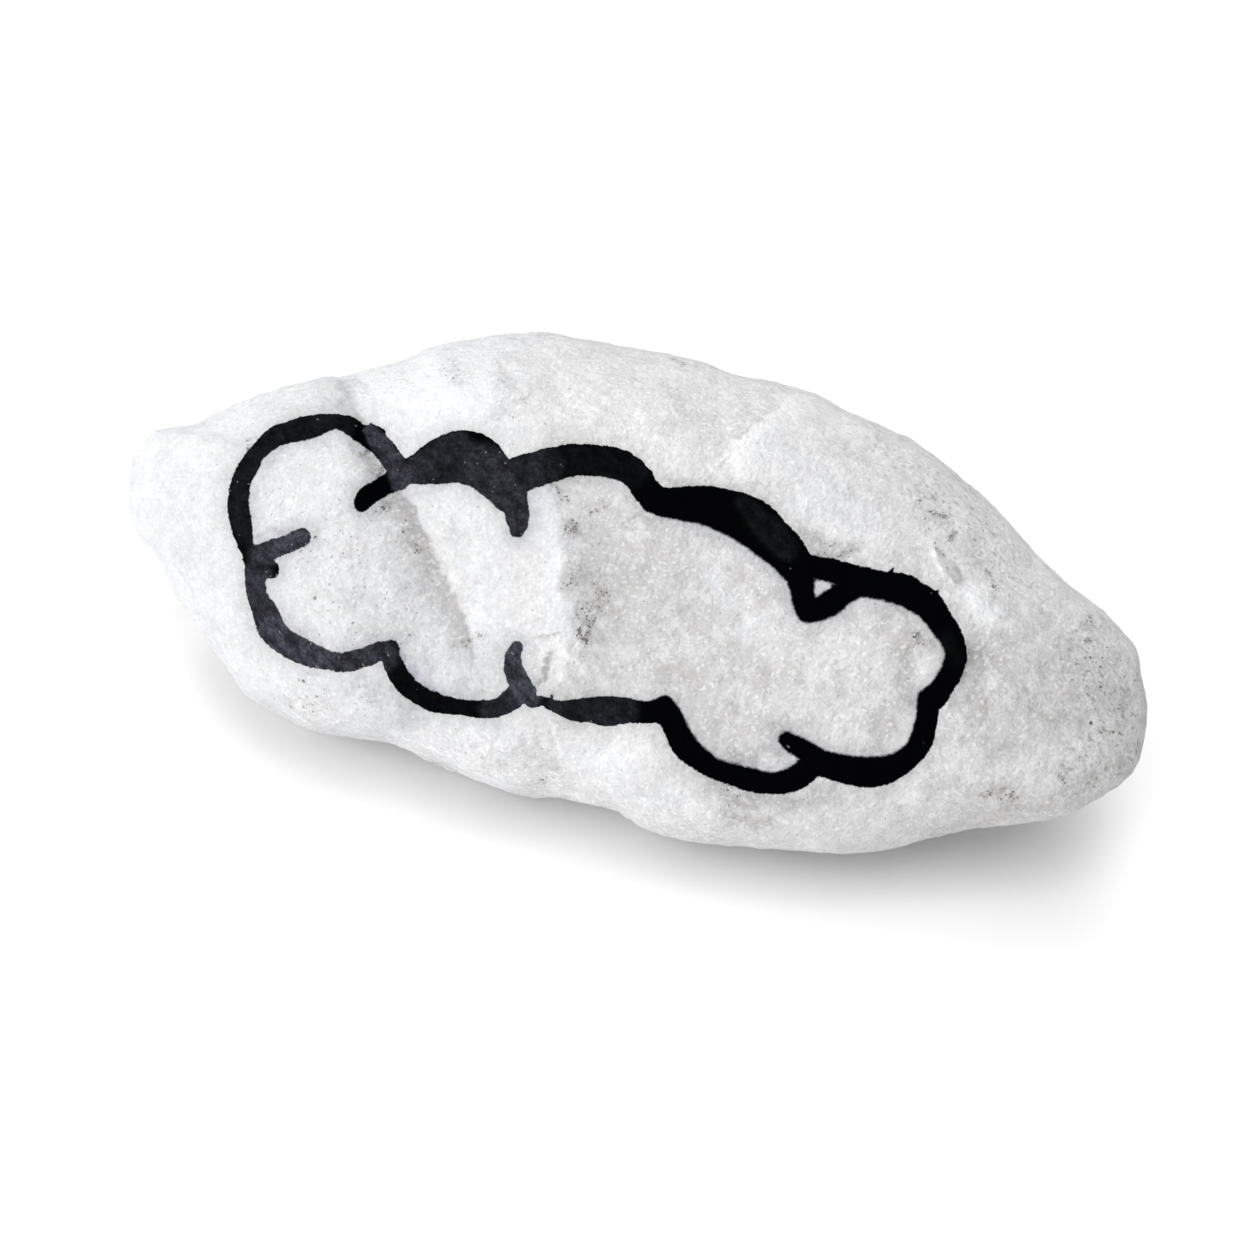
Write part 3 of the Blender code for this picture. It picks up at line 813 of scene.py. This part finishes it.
def mark_surface(stone):
    """Stores where the paint, the tones and the specks lie."""
    data = stone.data
    places = vertex_places(data)
    points = picture_points(places)
    front = smooth_step(*MARKS_FACING, vertex_normals(data) @ np.array(W_AXIS))
    slow = wander(places, length=0.0035, octaves=4, shifts=(3.1, 8.7))
    jitter = wander(places, length=0.0009, octaves=2, shifts=(4.4, 6.2))
    loose = points + slow * WANDER_PX
    crisp = points + slow * CRISP_WANDER_PX + jitter * JITTER_PX
    mark_paint(data, points, front)
    mark_shade_and_tone(data, places, points, loose, crisp, front)
    mark_warmth(data, places, loose, front)
    mark_specks(data, places, loose, front)


# Materials

class Shading:
    """Short calls that add shader nodes to one material and link them."""

    def __init__(self, material):
        material.use_nodes = True
        self.tree = material.node_tree
        self.shader = self.tree.nodes["Principled BSDF"]
        self.place = self.add("ShaderNodeTexCoord").outputs["Object"]

    def add(self, kind, **settings):
        node = self.tree.nodes.new(kind)
        for name, value in settings.items():
            setattr(node, name, value)
        return node

    def give(self, node, socket, value):
        """Links an output to a socket, or sets its value."""
        if isinstance(value, bpy.types.NodeSocket):
            self.tree.links.new(value, node.inputs[socket])
        else:
            node.inputs[socket].default_value = value

    def attribute(self, name):
        return self.add("ShaderNodeAttribute", attribute_name=name).outputs["Fac"]

    def math(self, operation, *values):
        node = self.add("ShaderNodeMath", operation=operation)
        for index, value in enumerate(values):
            self.give(node, index, value)
        return node.outputs[0]

    def times(self, first, second):
        return self.math("MULTIPLY", first, second)

    def ramp(self, value, low, high, start=0.0, end=1.0):
        """Goes from start at low to end at high, with level ends."""
        node = self.add("ShaderNodeMapRange", interpolation_type="SMOOTHSTEP")
        for socket, number in (("Value", value), ("From Min", low), ("From Max", high),
                               ("To Min", start), ("To Max", end)):
            self.give(node, socket, number)
        return node.outputs["Result"]

    def mix(self, share, first, second):
        node = self.add("ShaderNodeMix", data_type="RGBA")
        self.give(node, "Factor", share)
        self.give(node, "A", first)
        self.give(node, "B", second)
        return node.outputs["Result"]

    def noise(self, size, detail=3.0, roughness=0.55, place=None):
        """Cloudy noise from 0 to 1, with features of about a size in metres."""
        node = self.add("ShaderNodeTexNoise")
        self.give(node, "Vector", place or self.place)
        self.give(node, "Scale", 1 / size)
        self.give(node, "Detail", detail)
        self.give(node, "Roughness", roughness)
        return node.outputs["Fac"]

    def clouds(self, size, low, high, start=0.0, end=1.0, **settings):
        """Goes from start to end where the noise goes from low to high."""
        return self.ramp(self.noise(size, **settings), low, high, start, end)

    def uneven(self, value, size, amount, place=None):
        """The value, changed by up to about an amount either way."""
        wave = self.math("SUBTRACT", self.noise(size, place=place), 0.5)
        return self.math("MULTIPLY_ADD", wave, amount * 2, value)

    def most(self, *values):
        """The greatest of the values."""
        greatest = values[0]
        for value in values[1:]:
            greatest = self.math("MAXIMUM", greatest, value)
        return greatest

    def cells(self, size, place=None):
        """Grains of about a size: distance to the centre, and a chance for each."""
        node = self.add("ShaderNodeTexVoronoi")
        self.give(node, "Vector", place or self.place)
        self.give(node, "Scale", 1 / size)
        split = self.add("ShaderNodeSeparateColor")
        self.give(split, "Color", node.outputs["Color"])
        return node.outputs["Distance"], split.outputs["Red"]

    def slanted(self, stretch):
        """Places squeezed so that features run down to the right of the face."""
        parts = []
        for axis, share in ((U_AXIS - V_AXIS, 1 / stretch), (U_AXIS + V_AXIS, 1.0), (W_AXIS, 1.0)):
            node = self.add("ShaderNodeVectorMath", operation="DOT_PRODUCT")
            self.give(node, 0, self.place)
            self.give(node, 1, axis.normalized() * share)
            parts.append(node.outputs["Value"])
        joined = self.add("ShaderNodeCombineXYZ")
        for index, part in enumerate(parts):
            self.give(joined, index, part)
        return joined.outputs["Vector"]


def spots(shade, size, radius, density, place=None):
    """Small ragged spots; the radius is a share of the size, the density may vary."""
    distance, chance = shade.cells(size, place)
    ragged = shade.math("MULTIPLY_ADD", shade.noise(size * 0.6), 0.90, distance)
    spot = shade.ramp(ragged, radius + 0.50, radius + 0.30)
    kept = shade.math("LESS_THAN", chance, density)
    return shade.times(spot, kept)


def dark_specks(shade, slanted):
    """Ragged crumbs where specks crowd, small single specks and slanted dashes, from 0 to 1."""
    crowd = shade.attribute("speck")
    heap = shade.math("MULTIPLY_ADD", crowd, 0.32, shade.noise(size=0.00050, roughness=0.6))
    crumbs = shade.ramp(heap, low=0.76, high=0.87, end=0.74)
    density = shade.math("MULTIPLY_ADD", crowd, 0.60, -0.01)
    dots = spots(shade, size=0.00055, radius=0.34, density=density)
    darkness = shade.clouds(size=0.0008, low=0.35, high=0.65, start=0.35, end=0.85)
    dots = shade.times(dots, darkness)
    density = shade.math("MULTIPLY_ADD", crowd, 0.9, 0.007)
    single = spots(shade, size=0.00034, radius=0.36, density=density)
    darkness = shade.ramp(crowd, low=0.0, high=0.6, start=0.40, end=0.85)
    single = shade.times(single, darkness)
    smudge = shade.clouds(size=0.0009, low=0.38, high=0.60, end=0.50)
    smudge = shade.times(crowd, smudge)
    dash = shade.clouds(size=0.00048, low=0.57, high=0.68, end=0.42,
                        detail=2.0, roughness=0.5, place=slanted)
    dash = shade.times(dash, shade.attribute("dashes"))
    return shade.most(crumbs, dots, single, smudge, dash)


def pale_flecks_and_glints(shade, slanted):
    """Pale crystals, with painted glints and highlights on crystal faces and curved crystal edges,
    whiter than the rock, from 0 to 1.
    """
    patch = shade.clouds(size=0.0011, low=0.52, high=0.68, end=0.26,
                         roughness=0.6, place=slanted)
    small = shade.clouds(size=0.00048, low=0.60, high=0.69, end=0.32,
                         detail=1.0, roughness=0.4)
    wave = shade.noise(size=0.0008, detail=2.0, roughness=0.5)
    curl = shade.math("ABSOLUTE", shade.math("SUBTRACT", wave, 0.5))
    curl = shade.ramp(curl, low=0.028, high=0.006, end=0.28)
    where = shade.clouds(size=0.0016, low=0.48, high=0.60, detail=2.0, roughness=0.5)
    curl = shade.times(curl, where)
    # Painted glints on crystal faces
    glint = spots(shade, size=0.00046, radius=0.34, density=0.12)
    glint = shade.times(glint, 0.36)
    fleck = shade.most(patch, small, curl, glint)
    return shade.times(fleck, shade.attribute("flecks"))


def rock_colour(shade):
    """Cool white crystalline rock with warm grey clouds, painted shade and light, pale flecks with
    painted glints, and dark specks.
    """
    slanted = shade.slanted(SLANTED_STRETCH)
    # Painted shade and painted light from the tone attribute darken and lighten the rock here
    level = shade.math("MULTIPLY_ADD", shade.attribute("tone"), SHADE_AND_TONE_STRENGTH, ROCK_LEVEL)
    for size, amount, is_slanted in ROCK_WAVES.values():
        level = shade.uneven(level, size, amount, slanted if is_slanted else None)
    _, grain = shade.cells(GRAIN_SIZE)
    grain = shade.math("SUBTRACT", grain, 0.5)
    level = shade.math("MULTIPLY_ADD", grain, GRAIN_CONTRAST, level)
    level = shade.ramp(level, *LEVEL_RANGE)
    cool = shade.mix(level, COOL_GREY, COOL_WHITE)
    warm = shade.mix(level, WARM_GREY, WARM_WHITE)
    warmth = shade.uneven(shade.attribute("warmth"), size=0.0035, amount=0.6)
    colour = shade.mix(shade.ramp(warmth, 0.0, 1.0), cool, warm)
    colour = shade.mix(pale_flecks_and_glints(shade, slanted), colour, FLECK_AND_GLINT_WHITE)
    return shade.mix(dark_specks(shade, slanted), colour, SPECK_BROWN)


def paint_mask(shade):
    """1 under the paint, with a slightly ragged edge and a few bare pin-holes."""
    edge = shade.attribute("paint_edge")
    for size, amount in PAINT_RAGGEDNESS:
        edge = shade.uneven(edge, size, amount)
    feather = shade.attribute("feather")
    mask = shade.ramp(edge, feather, shade.times(feather, -1.0))
    bare = spots(shade, size=0.00030, radius=0.24, density=0.004)
    bare = shade.times(bare, 0.6)
    return shade.times(mask, shade.math("SUBTRACT", 1.0, bare))


def paint_colour(shade):
    """Deep black with lighter parts of painted sheen, faint streaks in the sheen, and small thin
    light scratches painted as glints.
    """
    painted_sheen = shade.attribute("painted_sheen")
    streak = shade.clouds(size=0.0009, low=0.30, high=0.70, start=0.42, end=1.22,
                          roughness=0.5, place=shade.slanted(2.0))
    grainy = shade.clouds(size=0.00032, low=0.32, high=0.68, start=0.62, end=1.32,
                          detail=2.0, roughness=0.6)
    # Painted sheen: the paint lighter where it faces the light
    sheen = shade.times(painted_sheen, shade.times(streak, grainy))
    colour = shade.mix(sheen, PAINT_BLACK, PAINT_SHEEN)
    density = shade.math("MULTIPLY_ADD", painted_sheen, 0.12, 0.003)
    # Painted glints along small scratches, mostly where the sheen is
    scratch_glint = spots(shade, size=0.00030, radius=0.28, density=density, place=shade.slanted(3.5))
    return shade.mix(shade.times(scratch_glint, 0.18), colour, COOL_WHITE)


def ink_in_rock(shade, rock):
    """The rock with a haze of ink round the strokes and a blue-grey bleed inside the cloud."""
    edge = shade.attribute("paint_edge")
    near = shade.math("MULTIPLY_ADD", edge, -0.001 / HAZE_REACH, 1.0)
    near = shade.math("POWER", shade.math("MAXIMUM", near, 0.0), HAZE_FALL)
    rock = shade.mix(shade.times(near, HAZE_SHARE), rock, HAZE_GREY)
    bleed = shade.times(shade.ramp(edge, 1.6, 0.0), shade.attribute("bleed"))
    patchy = shade.clouds(size=0.0008, low=0.30, high=0.70, start=0.15, end=0.70)
    return shade.mix(shade.times(bleed, patchy), rock, BLEED_BLUE)


def fine_bump(shade):
    """Normals of the finest grain."""
    bump = shade.add("ShaderNodeBump")
    grain, _ = shade.cells(size=0.00055)
    coarse = shade.times(shade.noise(size=0.0010), 2.0)
    height = shade.math("ADD", shade.noise(size=0.00030), coarse)
    shade.give(bump, "Height", shade.math("MULTIPLY_ADD", grain, -0.7, height))
    shade.give(bump, "Distance", 0.00016)
    shade.give(bump, "Strength", 0.8)
    return bump.outputs["Normal"]


def painted_rock():
    """The rock, the ink in it and the paint over it."""
    material = bpy.data.materials.new("painted_rock")
    shade = Shading(material)
    mask = paint_mask(shade)
    rock = ink_in_rock(shade, rock_colour(shade))
    roughness = shade.ramp(mask, 0.0, 1.0, start=0.72, end=0.50)
    shade.give(shade.shader, "Base Color", shade.mix(mask, rock, paint_colour(shade)))
    shade.give(shade.shader, "Roughness", roughness)
    shade.give(shade.shader, "Specular IOR Level", 0.0)
    shade.give(shade.shader, "Normal", fine_bump(shade))
    return material


# Stage

def floor_material():
    """Plain white floor, kept white far from the lights by a glow of its own."""
    material = bpy.data.materials.new("white_floor")
    shade = Shading(material)
    shade.give(shade.shader, "Base Color", FLOOR_WHITE)
    shade.give(shade.shader, "Roughness", 1.0)
    shade.give(shade.shader, "Specular IOR Level", 0.0)
    away = shade.add("ShaderNodeVectorMath", operation="LENGTH")
    shade.give(away, 0, shade.place)
    shade.give(shade.shader, "Emission Color", WHITE)
    shade.give(shade.shader, "Emission Strength", shade.ramp(away.outputs["Value"], *GLOW_FROM))
    return material


def make_floor():
    """A wide white floor under the stone, a trace below its flat patch."""
    bpy.ops.mesh.primitive_plane_add(size=6.0, location=(0.0, 0.0, -0.00001))
    floor = bpy.context.object
    floor.name = "floor"
    floor.data.materials.append(floor_material())


def make_camera():
    """Camera looking straight at the painted face."""
    data = bpy.data.cameras.new("camera")
    data.lens = LENS_MM
    data.sensor_width = SENSOR_MM
    camera = bpy.data.objects.new("camera", data)
    bpy.context.scene.collection.objects.link(camera)
    camera.location = FACE_ORIGIN + W_AXIS * VIEW_DISTANCE
    camera.rotation_euler = W_AXIS.to_track_quat("Z", "Y").to_euler()
    bpy.context.scene.camera = camera


def direction_of(azimuth, elevation):
    """World direction from two angles in degrees."""
    around, up = math.radians(azimuth), math.radians(elevation)
    return Vector((math.cos(around) * math.cos(up),
                   math.sin(around) * math.cos(up), math.sin(up)))


def soft_light(name, toward, power):
    """A square area light turned to the stone."""
    data = bpy.data.lights.new(name, "AREA")
    data.shape = "SQUARE"
    data.size = LIGHT_SIZE
    data.energy = power
    light = bpy.data.objects.new(name, data)
    bpy.context.scene.collection.objects.link(light)
    light.location = FACE_ORIGIN + toward * LIGHT_DISTANCE
    light.rotation_euler = toward.to_track_quat("Z", "Y").to_euler()


def make_lights():
    """Soft boxes round the stone, and pale surroundings."""
    for name, (azimuth, elevation, power) in LIGHTS.items():
        soft_light(name, direction_of(azimuth, elevation), power)
    world = bpy.data.worlds.new("white surroundings")
    bpy.context.scene.world = world
    world.use_nodes = True
    tree = world.node_tree
    seen = tree.nodes.new("ShaderNodeLightPath").outputs["Is Camera Ray"]
    strength = tree.nodes.new("ShaderNodeMapRange")
    strength.inputs["To Min"].default_value = SURROUNDINGS
    tree.links.new(seen, strength.inputs["Value"])
    background = tree.nodes["Background"]
    background.inputs["Color"].default_value = WHITE
    tree.links.new(strength.outputs["Result"], background.inputs["Strength"])


def main():
    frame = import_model()
    cad_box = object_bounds()
    make_camera()
    stone = dense_copy(frame["nodes"]["stone"])
    refine_near_edges(stone)
    add_relief(stone, cad_box)
    mark_surface(stone)
    stone.data.shade_smooth()
    stone.data.materials.clear()
    stone.data.materials.append(painted_rock())
    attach(stone, "root")
    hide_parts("stone")
    make_floor()
    make_lights()
    bpy.context.scene.view_settings.view_transform = "Standard"


main()
